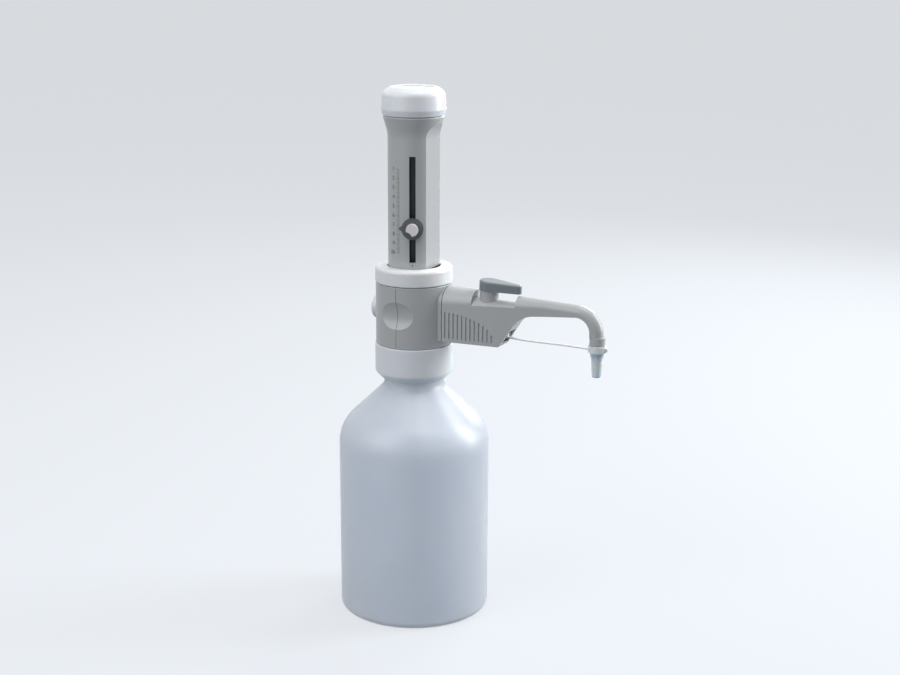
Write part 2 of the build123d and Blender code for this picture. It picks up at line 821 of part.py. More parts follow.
with BuildPart() as coupling_o_ring:
    with BuildSketch(Plane.XZ):
        with Locations((port_boss_end_x + 0.5, port_z + port_boss_r - 0.8)):
            Circle(0.5)
    revolve(axis=port_axis)

valve_start_x = lever_x - valve_body_length / 2
with BuildPart() as feed_tube:
    with BuildSketch(Plane.XZ):
        outline(
            (feed_flange_x, port_z + feed_bore_r),
            (feed_flange_x, port_z + port_boss_r - 0.2),
            (feed_flange_x + 1.2, port_z + port_boss_r - 0.2),
            (feed_flange_x + 1.2, port_z + feed_r),
            (valve_start_x + 2, port_z + feed_r),
            (valve_start_x + 2, port_z + feed_bore_r),
        )
    revolve(axis=port_axis)

with BuildPart() as return_tube:
    with BuildSketch(Plane.YZ.offset(block_r - 4)):
        with Locations((0, return_z)):
            Circle(pipe_r)
            Circle(pipe_bore_r, mode=Mode.SUBTRACT)
    extrude(amount=valve_start_x + 2 - block_r + 4)

# Recirculation valve in the arm's root
plug_section = Plane(origin=lever_plane.origin, x_dir=lever_plane.x_dir, z_dir=(0, -1, 0))
feed_height = port_z - lever_base_z
return_height = return_z - lever_base_z
pipe_height = pipe_start_z - lever_base_z
plug_bottom = valve_body_bottom_z + 0.9 - lever_base_z
plug_shoulder = valve_body_top_z - lever_base_z - 0.5
with BuildPart() as valve_body:
    with BuildSketch(Plane.XY.offset(valve_body_bottom_z)):
        with Locations((lever_x, 0)):
            RectangleRounded(valve_body_length, 2 * valve_body_half, 1)
    extrude(amount=valve_body_top_z - valve_body_bottom_z)
    with BuildSketch(lever_plane.offset(plug_bottom)):
        Circle(plug_r + running_gap)
    extrude(amount=-plug_bottom, mode=Mode.SUBTRACT)
    with BuildSketch(Plane.YZ.offset(valve_start_x - 1)):
        with Locations((0, port_z)):
            Circle(feed_r + nest_gap)
        with Locations((0, return_z)):
            Circle(pipe_r + nest_gap)
    extrude(amount=3, mode=Mode.SUBTRACT)
    with BuildSketch(Plane.YZ.offset(valve_start_x - 1)):
        with Locations((0, port_z), (0, return_z)):
            Circle(pipe_bore_r)
    extrude(amount=valve_body_length / 2, mode=Mode.SUBTRACT)
    with BuildSketch(Plane.YZ.offset(lever_x + valve_body_length / 2 + 1)):
        with Locations((0, pipe_start_z)):
            Circle(pipe_r + nest_gap)
    extrude(amount=-3, mode=Mode.SUBTRACT)
    with BuildSketch(Plane.YZ.offset(lever_x + valve_body_length / 2 + 1)):
        with Locations((0, pipe_start_z)):
            Circle(pipe_bore_r)
    extrude(amount=-valve_body_length / 2, mode=Mode.SUBTRACT)

with BuildPart() as valve_plug:
    with BuildSketch(lever_plane.offset(plug_bottom + nest_gap)):
        Circle(plug_r)
    extrude(amount=plug_shoulder - plug_bottom - nest_gap)
    with BuildSketch(lever_plane.offset(plug_shoulder)):
        Circle(stem_r)
    extrude(amount=-plug_shoulder + stem_seat)
    # channel to the discharge pipe, and the groove that leads back when the plug is turned
    with BuildSketch(plug_section):
        outline(
            (-plug_r - 1, feed_height - pipe_bore_r),
            (-plug_r - 1, feed_height + pipe_bore_r),
            (-pipe_bore_r, feed_height + pipe_bore_r),
            (-pipe_bore_r, pipe_height + pipe_bore_r),
            (plug_r + 1, pipe_height + pipe_bore_r),
            (plug_r + 1, pipe_height - pipe_bore_r),
            (pipe_bore_r, pipe_height - pipe_bore_r),
            (pipe_bore_r, feed_height - pipe_bore_r),
        )
        with Locations((plug_r - 1.2, return_height - pipe_bore_r)):
            Rectangle(2, feed_height - return_height + 2 * pipe_bore_r, align=(Align.MIN, Align.MIN))
    extrude(amount=pipe_bore_r * 0.8, both=True, mode=Mode.SUBTRACT)

# Lever: round head over the plug, tail along the arm
with BuildPart() as valve_lever:
    with BuildSketch(lever_plane):
        Circle(lever_head_r)
        with Locations((lever_length, 0)):
            Circle(lever_tail_r)
        make_hull()
    extrude(amount=lever_thickness + 2)
    top_fall = tan(radians(lever_top_slope - ridge_slope))
    with BuildSketch(plug_section):
        outline(
            (-2 * lever_head_r, 2 * lever_thickness),
            (-2 * lever_head_r, lever_thickness + 2 * lever_head_r * top_fall),
            (2 * lever_length, lever_thickness - 2 * lever_length * top_fall),
            (2 * lever_length, 2 * lever_thickness),
        )
    extrude(amount=2 * lever_head_r, both=True, mode=Mode.SUBTRACT)
    fillet(valve_lever.faces().sort_by(Axis.Z)[-1].edges(), lever_round)
    with BuildSketch(lever_plane):
        Circle(stem_r + nest_gap)
    extrude(amount=stem_seat + nest_gap, mode=Mode.SUBTRACT)

# Arm cover
section_bottom = arm_bottom_z - 5
with BuildPart() as arm_cover:
    with BuildSketch(Plane.YZ.offset(arm_root_x)):
        arched(arm_half(arm_root_x), ridge_z(arm_root_x), section_bottom)
    with BuildSketch(Plane.YZ.offset(arm_taper_end_x)):
        arched(arm_tip_half, ridge_z(arm_taper_end_x), section_bottom)
    loft(ruled=True)
    # the thin part, bent down to the spout
    depth = outer_bend_r - 2
    with BuildLine() as ridge_line:
        FilletPolyline(
            (arm_taper_end_x, 0, ridge_z(arm_taper_end_x)),
            (arm_outer_x, 0, ridge_z(arm_outer_x)),
            (arm_outer_x, 0, arm_end_z - 2),
            radius=outer_bend_r,
        )
    with BuildSketch(Plane(origin=(arm_taper_end_x, 0, 0), x_dir=(0, 1, 0), z_dir=(1, 0, 0))):
        arched(arm_tip_half, ridge_z(arm_taper_end_x), ridge_z(arm_taper_end_x) - depth)
    sweep(path=ridge_line.line)
    # side outline
    with BuildSketch(Plane.XZ.offset(-2 * arm_root_half)):
        outline(
            (arm_root_x, arm_bottom_z),
            (heel_x, arm_bottom_z, heel_round),
            (throat_x, throat_z, throat_round),
            (arm_inner_x, under_tip_z, inner_bend_r),
            (arm_inner_x, arm_end_z),
            (arm_outer_x + 1, arm_end_z),
            (arm_outer_x + 1, ridge_root_z + 1),
            (arm_root_x, ridge_root_z + 1),
        )
    extrude(amount=4 * arm_root_half, mode=Mode.INTERSECT)

    # hollow root, open towards the housing and through the slanted underside
    inner_root = arm_half(arm_root_x) - arm_wall
    inner_end = arm_half(cavity_end_x) - arm_wall
    with BuildSketch(Plane.XY.offset(arm_bottom_z + arm_wall)):
        outline(
            (arm_root_x - 1, -inner_root),
            (arm_root_x, -inner_root),
            (cavity_end_x, -inner_end),
            (cavity_end_x, inner_end),
            (arm_root_x, inner_root),
            (arm_root_x - 1, inner_root),
        )
    extrude(amount=cavity_top_z - arm_bottom_z - arm_wall, mode=Mode.SUBTRACT)
    # recess for the lever, with an arched floor
    with BuildSketch(Plane(origin=(recess_start_x, 0, ridge_z(recess_start_x)), x_dir=(0, 1, 0), z_dir=recess_run)):
        Rectangle(3 * arm_root_half, 20)
        with Locations((0, -recess_drop - recess_floor_r)):
            Circle(recess_floor_r, mode=Mode.SUBTRACT)
    extrude(amount=recess_end_x - recess_start_x, mode=Mode.SUBTRACT)
    # boss that the lever turns on, and the plug's hole
    with BuildSketch(lever_plane.offset(-face_gap)):
        Circle(boss_r)
    extrude(amount=-recess_drop - 3)
    with BuildSketch(lever_plane):
        Circle(stem_r + slide_gap)
    extrude(amount=-2 * recess_drop - 4, mode=Mode.SUBTRACT)
    # ribs on both sides of the root
    for rib in range(rib_count):
        rib_x = rib_first_x + rib * rib_pitch
        rib_height = rib_rise * sqrt(1 - ((rib_x - arm_root_x) / rib_run) ** 2)
        rib_y = arm_half(rib_x) - rib_depth
        with Locations((rib_x, rib_y, rib_bottom_z), (rib_x, -rib_y - 3, rib_bottom_z)):
            Box(rib_width, 3, rib_height, align=(Align.CENTER, Align.MIN, Align.MIN), mode=Mode.SUBTRACT)
    # channel of the discharge pipe and seats of the spout and the strap's pin
    with BuildLine() as channel_line:
        add(pipe_line.line)
    with BuildSketch(Plane(origin=(pipe_start_x, 0, pipe_start_z), z_dir=(1, 0, 0))):
        Circle(pipe_channel_r)
    sweep(path=channel_line.line, mode=Mode.SUBTRACT)
    with BuildSketch(Plane.XY.offset(arm_end_z)):
        with Locations((spout_x, 0)):
            Circle(spout_spigot_r + nest_gap)
    extrude(amount=spout_spigot_height + nest_gap, mode=Mode.SUBTRACT)
    with BuildSketch(Plane.XZ.offset(-pin_half)):
        with Locations((strap_pin_x, strap_pin_z)):
            Circle(strap_pin_r + running_gap)
    extrude(amount=2 * pin_half, mode=Mode.SUBTRACT)

# Spout neck
with BuildPart() as spout_neck:
    with BuildSketch(Plane.XZ):
        outline(
            (spout_x + pipe_r + running_gap, spout_thread_bottom_z),
            (spout_x + spout_thread_r, spout_thread_bottom_z, 0.4),
            (spout_x + spout_thread_r, spout_collar_bottom_z),
            (spout_x + spout_r, spout_collar_bottom_z, 0.4),
            (spout_x + spout_r, arm_end_z),
            (spout_x + spout_spigot_r, arm_end_z),
            (spout_x + spout_spigot_r, arm_end_z + spout_spigot_height),
            (spout_x + pipe_r + running_gap, arm_end_z + spout_spigot_height),
        )
    revolve(axis=spout_axis)

# Tip cap: wide top round the spout, then a closed tube round the pipe
cap_thread_floor_z = spout_thread_bottom_z - 1
tip_top_z = spout_collar_bottom_z - face_gap
with BuildPart() as tip_cap:
    with BuildSketch(Plane.XZ):
        outline(
            (spout_x, tip_bottom_z),
            (spout_x + tip_end_r, tip_bottom_z, tip_round),
            (spout_x + tip_tube_r, tip_cone_bottom_z, 4),
            (spout_x + tip_skirt_r, strap_ring_bottom_z - 0.3),
            (spout_x + tip_shank_r, strap_ring_bottom_z),
            (spout_x + tip_shank_r, tip_top_z - tip_bead_height),
            (spout_x + tip_bead_r, tip_top_z - tip_bead_height),
            (spout_x + tip_bead_r, tip_top_z),
            (spout_x + spout_thread_r + slide_gap, tip_top_z),
            (spout_x + spout_thread_r + slide_gap, cap_thread_floor_z),
            (spout_x + tip_end_r - 0.4, cap_thread_floor_z - 1.5),
            (spout_x + pipe_r + slide_gap, tip_bottom_z + tip_wall + 3),
            (spout_x + pipe_r + slide_gap, tip_bottom_z + tip_wall),
            (spout_x, tip_bottom_z + tip_wall),
        )
    revolve(axis=spout_axis)

# Strap ring with its tab
with BuildPart() as cap_ring:
    with BuildSketch(Plane.XY.offset(strap_ring_bottom_z)):
        with Locations((spout_x, 0)):
            Circle(strap_ring_r)
            Circle(tip_shank_r + running_gap, mode=Mode.SUBTRACT)
    extrude(amount=strap_ring_height)
    with BuildSketch(Plane.XY.offset(strap_ring_bottom_z + 0.9)):
        with Locations((spout_x + strap_ring_r - 0.4, 0)):
            RectangleRounded(1.8, 2.8, 0.6, align=(Align.MIN, Align.CENTER))
    extrude(amount=strap_ring_height - 1.8)

# Strap and the pin in the arm that it is hooked on
with BuildPart() as tether_strap:
    with BuildLine() as strap_line:
        Spline(
            (strap_pin_x, 0, strap_pin_z - strap_eye_r + strap_thickness / 2),
            (strap_pin_x + 5, 0, strap_sag_z + 0.5),
            (strap_middle_x, 0, strap_sag_z),
            (strap_end_x, 0, strap_end_z),
        )
    with BuildSketch(Plane(origin=strap_line.line @ 0, x_dir=(0, 1, 0), z_dir=strap_line.line % 0)):
        Rectangle(strap_width, strap_thickness)
    sweep(path=strap_line.line)
    with BuildSketch(Plane.XZ.offset(-strap_width / 2)):
        with Locations((strap_pin_x, strap_pin_z)):
            Circle(strap_eye_r)
    extrude(amount=strap_width)
    with BuildSketch(Plane.XZ.offset(-strap_width)):
        with Locations((strap_pin_x, strap_pin_z)):
            Circle(strap_pin_r + running_gap)
    extrude(amount=2 * strap_width, mode=Mode.SUBTRACT)

with BuildPart() as strap_pin:
    with BuildSketch(Plane.XZ.offset(-pin_half + 0.1)):
        with Locations((strap_pin_x, strap_pin_z)):
            Circle(strap_pin_r)
    extrude(amount=2 * pin_half - 0.2)

# Discharge pipe
with BuildPart() as discharge_tube:
    with BuildLine() as tube_line:
        add(pipe_line.line)
    with BuildSketch(Plane(origin=(pipe_start_x, 0, pipe_start_z), z_dir=(1, 0, 0))):
        Circle(pipe_r)
        Circle(pipe_bore_r, mode=Mode.SUBTRACT)
    sweep(path=tube_line.line)

# Export
bottle.part.label = "bottle"
neck_gasket.part.label = "neck_gasket"
threaded_collar.part.label = "threaded_collar"
valve_block.part.label = "valve_block"
housing_arm_half.part.label = "housing_arm_half"
housing_vent_half.part.label = "housing_vent_half"
vent_cap.part.label = "vent_cap"
safety_ring.part.label = "safety_ring"
cylinder_seal.part.label = "cylinder_seal"
cylinder.part.label = "cylinder"
guard_tube.part.label = "guard_tube"
sleeve_guide.part.label = "sleeve_guide"
piston.part.label = "piston"
operating_sleeve.part.label = "operating_sleeve"
top_cap.part.label = "top_cap"
piston_clamp.part.label = "piston_clamp"
calibration_nut.part.label = "calibration_nut"
calibration_cover.part.label = "calibration_cover"
pointer.part.label = "pointer"
pointer_screw.part.label = "pointer_screw"
pointer_nut.part.label = "pointer_nut"
intake_valve_body.part.label = "intake_valve_body"
intake_ball.part.label = "intake_ball"
filling_tube_upper.part.label = "filling_tube_upper"
filling_tube_lower.part.label = "filling_tube_lower"
recirculation_tube.part.label = "recirculation_tube"
discharge_valve_seat.part.label = "discharge_valve_seat"
discharge_ball.part.label = "discharge_ball"
discharge_spring.part.label = "discharge_spring"
coupling_nut.part.label = "coupling_nut"
coupling_o_ring.part.label = "coupling_o_ring"
feed_tube.part.label = "feed_tube"
return_tube.part.label = "return_tube"
valve_body.part.label = "valve_body"
valve_plug.part.label = "valve_plug"
valve_lever.part.label = "valve_lever"
arm_cover.part.label = "arm_cover"
discharge_tube.part.label = "discharge_tube"
spout_neck.part.label = "spout_neck"
tip_cap.part.label = "tip_cap"
cap_ring.part.label = "cap_ring"
tether_strap.part.label = "tether_strap"
strap_pin.part.label = "strap_pin"

export_step(bottle.part, "parts/bottle.step")
export_step(neck_gasket.part, "parts/neck_gasket.step")
export_step(threaded_collar.part, "parts/threaded_collar.step")
export_step(valve_block.part, "parts/valve_block.step")
export_step(housing_arm_half.part, "parts/housing_arm_half.step")
export_step(housing_vent_half.part, "parts/housing_vent_half.step")
export_step(vent_cap.part, "parts/vent_cap.step")
export_step(safety_ring.part, "parts/safety_ring.step")
export_step(cylinder_seal.part, "parts/cylinder_seal.step")
export_step(cylinder.part, "parts/cylinder.step")
export_step(guard_tube.part, "parts/guard_tube.step")
export_step(sleeve_guide.part, "parts/sleeve_guide.step")
export_step(piston.part, "parts/piston.step")
export_step(operating_sleeve.part, "parts/operating_sleeve.step")
export_step(top_cap.part, "parts/top_cap.step")
export_step(piston_clamp.part, "parts/piston_clamp.step")
export_step(calibration_nut.part, "parts/calibration_nut.step")
export_step(calibration_cover.part, "parts/calibration_cover.step")
export_step(pointer.part, "parts/pointer.step")
export_step(pointer_screw.part, "parts/pointer_screw.step")
export_step(pointer_nut.part, "parts/pointer_nut.step")
export_step(intake_valve_body.part, "parts/intake_valve_body.step")
export_step(intake_ball.part, "parts/intake_ball.step")
export_step(filling_tube_upper.part, "parts/filling_tube_upper.step")
export_step(filling_tube_lower.part, "parts/filling_tube_lower.step")
export_step(recirculation_tube.part, "parts/recirculation_tube.step")
export_step(discharge_valve_seat.part, "parts/discharge_valve_seat.step")
export_step(discharge_ball.part, "parts/discharge_ball.step")
export_step(discharge_spring.part, "parts/discharge_spring.step")
export_step(coupling_nut.part, "parts/coupling_nut.step")
export_step(coupling_o_ring.part, "parts/coupling_o_ring.step")
export_step(feed_tube.part, "parts/feed_tube.step")
export_step(return_tube.part, "parts/return_tube.step")
export_step(valve_body.part, "parts/valve_body.step")
export_step(valve_plug.part, "parts/valve_plug.step")
export_step(valve_lever.part, "parts/valve_lever.step")
export_step(arm_cover.part, "parts/arm_cover.step")
export_step(discharge_tube.part, "parts/discharge_tube.step")
export_step(spout_neck.part, "parts/spout_neck.step")
export_step(tip_cap.part, "parts/tip_cap.step")
export_step(cap_ring.part, "parts/cap_ring.step")
export_step(tether_strap.part, "parts/tether_strap.step")
export_step(strap_pin.part, "parts/strap_pin.step")
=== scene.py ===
import bmesh
import bpy
from math import ceil, cos, hypot, radians, sin
from mathutils import Matrix, Vector


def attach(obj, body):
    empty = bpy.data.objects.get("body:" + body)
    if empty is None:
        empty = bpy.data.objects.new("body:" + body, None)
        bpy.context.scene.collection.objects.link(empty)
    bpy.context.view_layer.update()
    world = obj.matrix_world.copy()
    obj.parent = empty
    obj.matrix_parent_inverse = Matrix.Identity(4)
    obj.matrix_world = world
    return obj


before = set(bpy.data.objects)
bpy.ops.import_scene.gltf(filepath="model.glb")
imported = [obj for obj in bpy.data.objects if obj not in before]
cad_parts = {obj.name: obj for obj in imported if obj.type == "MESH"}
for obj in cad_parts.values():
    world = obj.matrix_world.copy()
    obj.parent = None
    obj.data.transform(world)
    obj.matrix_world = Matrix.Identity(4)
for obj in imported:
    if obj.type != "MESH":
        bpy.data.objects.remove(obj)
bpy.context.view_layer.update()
scene = bpy.context.scene
MM = 0.001

# Camera, at the photograph's place and lens
SENSOR_WIDTH = 36  # millimetres, as Blender's cameras count them
LENS = 62.95
CAMERA_PLACE = (0.48888, -0.91945, 0.45793)
CAMERA_TILT = 75.699  # degrees, as the next two
CAMERA_ROLL = -0.238
CAMERA_TURN = 26.713
FLOOR_SIZE = 40  # metres, which hold wherever a size has no other unit

camera_data = bpy.data.cameras.new("camera")
camera_data.sensor_width = SENSOR_WIDTH
camera_data.lens = LENS
camera_data.clip_end = 1.5 * FLOOR_SIZE
camera = bpy.data.objects.new("camera", camera_data)
camera.location = CAMERA_PLACE
camera.rotation_euler = (radians(CAMERA_TILT), radians(CAMERA_ROLL), radians(CAMERA_TURN))
scene.collection.objects.link(camera)
scene.camera = camera
scene.view_settings.view_transform = "Standard"

# Sockets of a Mix node that mixes colours, which share their names with its other sockets
MIX_A = 6
MIX_B = 7
MIX_RESULT = 2

# What the dense finishes share
PLASTIC_IOR = 1.5
DRIFT_MM = 36  # width of a patch of tone
GLOSSIER = 0.04  # how far the grain takes roughness down
DULLER = 0.05  # and up
GRAIN_STRENGTH = 0.35
COAT_ROUGHNESS = 0.12
LIGHT_DEPTH = 4 * MM  # how far light goes into a waxy plastic


def srgb(code):
    """A hex sRGB colour as linear RGBA."""
    channels = [int(code[i:i + 2], 16) / 255 for i in (1, 3, 5)]
    return [c / 12.92 if c <= 0.04045 else ((c + 0.055) / 1.055) ** 2.4 for c in channels] + [1]


def add_node(tree, kind, settings=None, links=None):
    """Adds a node. Settings are for its properties and sockets, links give an input its (node, output)."""
    node = tree.nodes.new(kind)
    for name, value in (settings or {}).items():
        if isinstance(name, int) or name in node.inputs:
            node.inputs[name].default_value = value
        else:
            setattr(node, name, value)
    for name, (source, output) in (links or {}).items():
        tree.links.new(source.outputs[output], node.inputs[name])
    return node


def new_material(name):
    """An empty material and its node tree."""
    material = bpy.data.materials.new(name)
    material.use_nodes = True
    material.node_tree.nodes.clear()
    return material, material.node_tree


def drifting_tone(tree, coords, colour, shade, patch_mm, detail, roughness):
    """Mixes two close colours by a slow noise, as the flow of a melt leaves them."""
    drift = add_node(tree, "ShaderNodeTexNoise",
                     {"Scale": 1 / (patch_mm * MM), "Detail": detail, "Roughness": roughness},
                     {"Vector": (coords, "Object")})
    return add_node(tree, "ShaderNodeMix",
                    {"data_type": "RGBA", MIX_A: srgb(colour), MIX_B: srgb(shade)},
                    {"Factor": (drift, "Fac")})


def dense_finish(name, colour, shade, roughness, grain_mm, depth_mm, specular=0.5, coat=0.0, subsurface=0.0):
    """An opaque finish: a fine grain in height and gloss, and a slow drift between two close tones."""
    material, tree = new_material(name)
    coords = add_node(tree, "ShaderNodeTexCoord")
    tone = drifting_tone(tree, coords, colour, shade, DRIFT_MM, detail=2.0, roughness=0.5)
    grain = add_node(tree, "ShaderNodeTexNoise",
                     {"Scale": 1 / (grain_mm * MM), "Detail": 3.0, "Roughness": 0.6},
                     {"Vector": (coords, "Object")})
    gloss = add_node(tree, "ShaderNodeMapRange",
                     {"To Min": roughness - GLOSSIER, "To Max": roughness + DULLER},
                     {"Value": (grain, "Fac")})
    relief = add_node(tree, "ShaderNodeBump",
                      {"Strength": GRAIN_STRENGTH, "Distance": depth_mm * MM},
                      {"Height": (grain, "Fac")})
    surface = add_node(tree, "ShaderNodeBsdfPrincipled",
                       {"IOR": PLASTIC_IOR, "Specular IOR Level": specular,
                        "Coat Weight": coat, "Coat Roughness": COAT_ROUGHNESS,
                        "Subsurface Weight": subsurface, "Subsurface Scale": LIGHT_DEPTH},
                       {"Base Color": (tone, MIX_RESULT), "Roughness": (gloss, "Result"),
                        "Normal": (relief, "Normal")})
    add_node(tree, "ShaderNodeOutputMaterial", {}, {"Surface": (surface, "BSDF")})
    return material


def translucent_polypropylene():
    """Blow-moulded natural polypropylene: milky, lets light through blurred, satin outside."""
    material, tree = new_material("natural_polypropylene_blow_moulded")
    coords = add_node(tree, "ShaderNodeTexCoord")
    tone = drifting_tone(tree, coords, "#F1F5FB", "#E8EFF8", patch_mm=45, detail=3.0, roughness=0.55)
    grain_mm = 0.7
    grain = add_node(tree, "ShaderNodeTexNoise", {"Scale": 1 / (grain_mm * MM), "Detail": 2.0},
                     {"Vector": (coords, "Object")})
    relief = add_node(tree, "ShaderNodeBump", {"Strength": 0.25, "Distance": 0.03 * MM},
                      {"Height": (grain, "Fac")})
    surface = add_node(tree, "ShaderNodeBsdfPrincipled",
                       {"Roughness": 0.40, "IOR": 1.49, "Transmission Weight": 0.60,
                        "Coat Weight": 0.25, "Coat Roughness": 0.2},
                       {"Base Color": (tone, MIX_RESULT), "Normal": (relief, "Normal")})
    add_node(tree, "ShaderNodeOutputMaterial", {}, {"Surface": (surface, "BSDF")})
    return material


def borosilicate():
    """Drawn borosilicate glass tube: clear, with slow waves in its wall."""
    material, tree = new_material("borosilicate_glass_drawn")
    coords = add_node(tree, "ShaderNodeTexCoord")
    wave_mm = 11
    waves = add_node(tree, "ShaderNodeTexNoise", {"Scale": 1 / (wave_mm * MM), "Detail": 1.0},
                     {"Vector": (coords, "Object")})
    relief = add_node(tree, "ShaderNodeBump", {"Strength": 0.1, "Distance": 0.1 * MM},
                      {"Height": (waves, "Fac")})
    surface = add_node(tree, "ShaderNodeBsdfPrincipled",
                       {"Base Color": srgb("#F3F8F7"), "Roughness": 0.03, "IOR": 1.47,
                        "Transmission Weight": 1.0},
                       {"Normal": (relief, "Normal")})
    add_node(tree, "ShaderNodeOutputMaterial", {}, {"Surface": (surface, "BSDF")})
    return material


def drawn_steel():
    """Drawn stainless wire: bright, with uneven gloss from the die."""
    material, tree = new_material("stainless_wire_drawn")
    coords = add_node(tree, "ShaderNodeTexCoord")
    mark_mm = 1.1
    marks = add_node(tree, "ShaderNodeTexNoise", {"Scale": 1 / (mark_mm * MM), "Detail": 2.0},
                     {"Vector": (coords, "Object")})
    gloss = add_node(tree, "ShaderNodeMapRange", {"To Min": 0.22, "To Max": 0.36},
                     {"Value": (marks, "Fac")})
    surface = add_node(tree, "ShaderNodeBsdfPrincipled", {"Base Color": srgb("#C9CACB"), "Metallic": 1.0},
                       {"Roughness": (gloss, "Result")})
    add_node(tree, "ShaderNodeOutputMaterial", {}, {"Surface": (surface, "BSDF")})
    return material


# Pearl grey ABS, satin from a fine eroded mould
pearl_grey_abs = dense_finish("pearl_grey_abs_moulded", "#B4B7B7", "#AEB0B1", roughness=0.36,
                              grain_mm=0.35, depth_mm=0.02, specular=0.55, coat=0.12)
# White polypropylene, slightly waxy, lets a little light in
white_polypropylene = dense_finish("white_polypropylene_moulded", "#EDEFF0", "#E7EAEC", roughness=0.30,
                                   grain_mm=0.5, depth_mm=0.015, subsurface=0.25)
# Milky polypropylene of the caps, softer and more waxy
milky_polypropylene = dense_finish("milky_polypropylene_moulded", "#E9EDF0", "#E3E8EC", roughness=0.34,
                                   grain_mm=0.6, depth_mm=0.015, subsurface=0.45)
# Graphite grey ABS of the lever, a little glossier
graphite_abs = dense_finish("graphite_abs_moulded", "#777F85", "#70787E", roughness=0.34,
                            grain_mm=0.35, depth_mm=0.02, specular=0.6, coat=0.15)
# Charcoal nylon of the pointer, half matt
charcoal_nylon = dense_finish("charcoal_nylon_moulded", "#55585C", "#4E5155", roughness=0.42,
                              grain_mm=0.3, depth_mm=0.02)
# White PTFE of the inner parts, dull and waxy from the lathe
white_ptfe = dense_finish("white_ptfe_machined", "#E4E6E5", "#DDE0DF", roughness=0.5,
                          grain_mm=0.4, depth_mm=0.02, subsurface=0.2)
# Black fluoroelastomer of the seals, matt
seal_elastomer = dense_finish("fluoroelastomer_moulded", "#242427", "#1E1E21", roughness=0.6,
                              grain_mm=0.2, depth_mm=0.03)
# Dark grey polypropylene of the guard tube. Its dark is painted shade, which makes the slot dark
painted_slot_shade = dense_finish("painted_slot_shade_polypropylene", "#33363A", "#2D3034", roughness=0.5,
                                      grain_mm=0.4, depth_mm=0.02)
# Mauve-grey ink, pad-printed on the sleeve, thin and dull
scale_ink = dense_finish("mauve_ink_pad_printed", "#7C686E", "#76626A", roughness=0.5,
                         grain_mm=0.2, depth_mm=0.004)
# Pink ceramic of the valve balls, polished to a gloss
ball_ceramic = dense_finish("ruby_ceramic_polished", "#C8747C", "#C06C74", roughness=0.12,
                            grain_mm=0.3, depth_mm=0.002, specular=0.6)
natural_polypropylene = translucent_polypropylene()
glass = borosilicate()
steel = drawn_steel()

# The nodes that aren't named here are white PTFE
finish_of_node = {
    "bottle": natural_polypropylene,
    "threaded_collar": milky_polypropylene,
    "top_cap": milky_polypropylene,
    "vent_cap": milky_polypropylene,
    "tip_cap": milky_polypropylene,
    "safety_ring": white_polypropylene,
    "calibration_cover": white_polypropylene,
    "pointer_screw": white_polypropylene,
    "cap_ring": white_polypropylene,
    "tether_strap": white_polypropylene,
    "housing_arm_half": pearl_grey_abs,
    "housing_vent_half": pearl_grey_abs,
    "operating_sleeve": pearl_grey_abs,
    "arm_cover": pearl_grey_abs,
    "spout_neck": pearl_grey_abs,
    "valve_lever": graphite_abs,
    "pointer": charcoal_nylon,
    "calibration_nut": charcoal_nylon,
    # dark grey as painted shade in the slot
    "guard_tube": painted_slot_shade,
    "neck_gasket": seal_elastomer,
    "cylinder_seal": seal_elastomer,
    "coupling_o_ring": seal_elastomer,
    "cylinder": glass,
    "discharge_spring": steel,
    "strap_pin": steel,
    "intake_ball": ball_ceramic,
    "discharge_ball": ball_ceramic,
}
for name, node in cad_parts.items():
    node.data.materials.clear()
    node.data.materials.append(finish_of_node.get(name, white_ptfe))

# Scale printed on the sleeve, from 1 ml at its top to 10 ml: a tick at each tenth, a number at each whole
FIRST_VOLUME = 1
LAST_VOLUME = 10
TICKS_PER_ML = 10
SCALE_LENGTH = 56 * MM
BARE_END = 11.2 * MM  # of the sleeve, below the scale
INK_HEIGHT = 0.05 * MM

sleeve_points = [vertex.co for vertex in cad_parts["operating_sleeve"].data.vertices]
scale_bottom_z = min(point.z for point in sleeve_points) + BARE_END
scale_top_z = scale_bottom_z + SCALE_LENGTH
sleeve_r = max(hypot(point.x, point.y) for point in sleeve_points if point.z < scale_top_z)

# A tick starts at its right end and goes round the sleeve in flat segments
TICK_RIGHT_ANGLE = -95.0
SEGMENT_ANGLE = 4.3
WHOLE_TICK = 3  # segments
HALF_TICK = 2
TENTH_TICK = 1.5
BOLD = 0.2 * MM
FINE = 0.13 * MM

NUMBER_RIGHT_ANGLE = -109.5
NUMBER_HEIGHT = 2.7 * MM
SIZE_PER_HEIGHT = 1.38  # of Blender's own font, for its digits
STROKE_SPREAD = 0.05 * MM


def scale_z(volume):
    """The height at which the scale has a volume in millilitres."""
    return scale_top_z - SCALE_LENGTH * (volume - FIRST_VOLUME) / (LAST_VOLUME - FIRST_VOLUME)


def on_sleeve(angle, z):
    """The frame of a spot on the sleeve: X to the right, Y up, Z outward."""
    turn = Matrix.Rotation(radians(angle + 90), 4, "Z") @ Matrix.Rotation(radians(90), 4, "X")
    spot = Matrix.Translation((sleeve_r * cos(radians(angle)), sleeve_r * sin(radians(angle)), z))
    return spot @ turn


def print_on_sleeve(name, mesh):
    """Makes an inked mesh a piece that goes up and down with the sleeve."""
    mesh.materials.clear()
    mesh.materials.append(scale_ink)
    piece = bpy.data.objects.new(name, mesh)
    scene.collection.objects.link(piece)
    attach(piece, "lift")


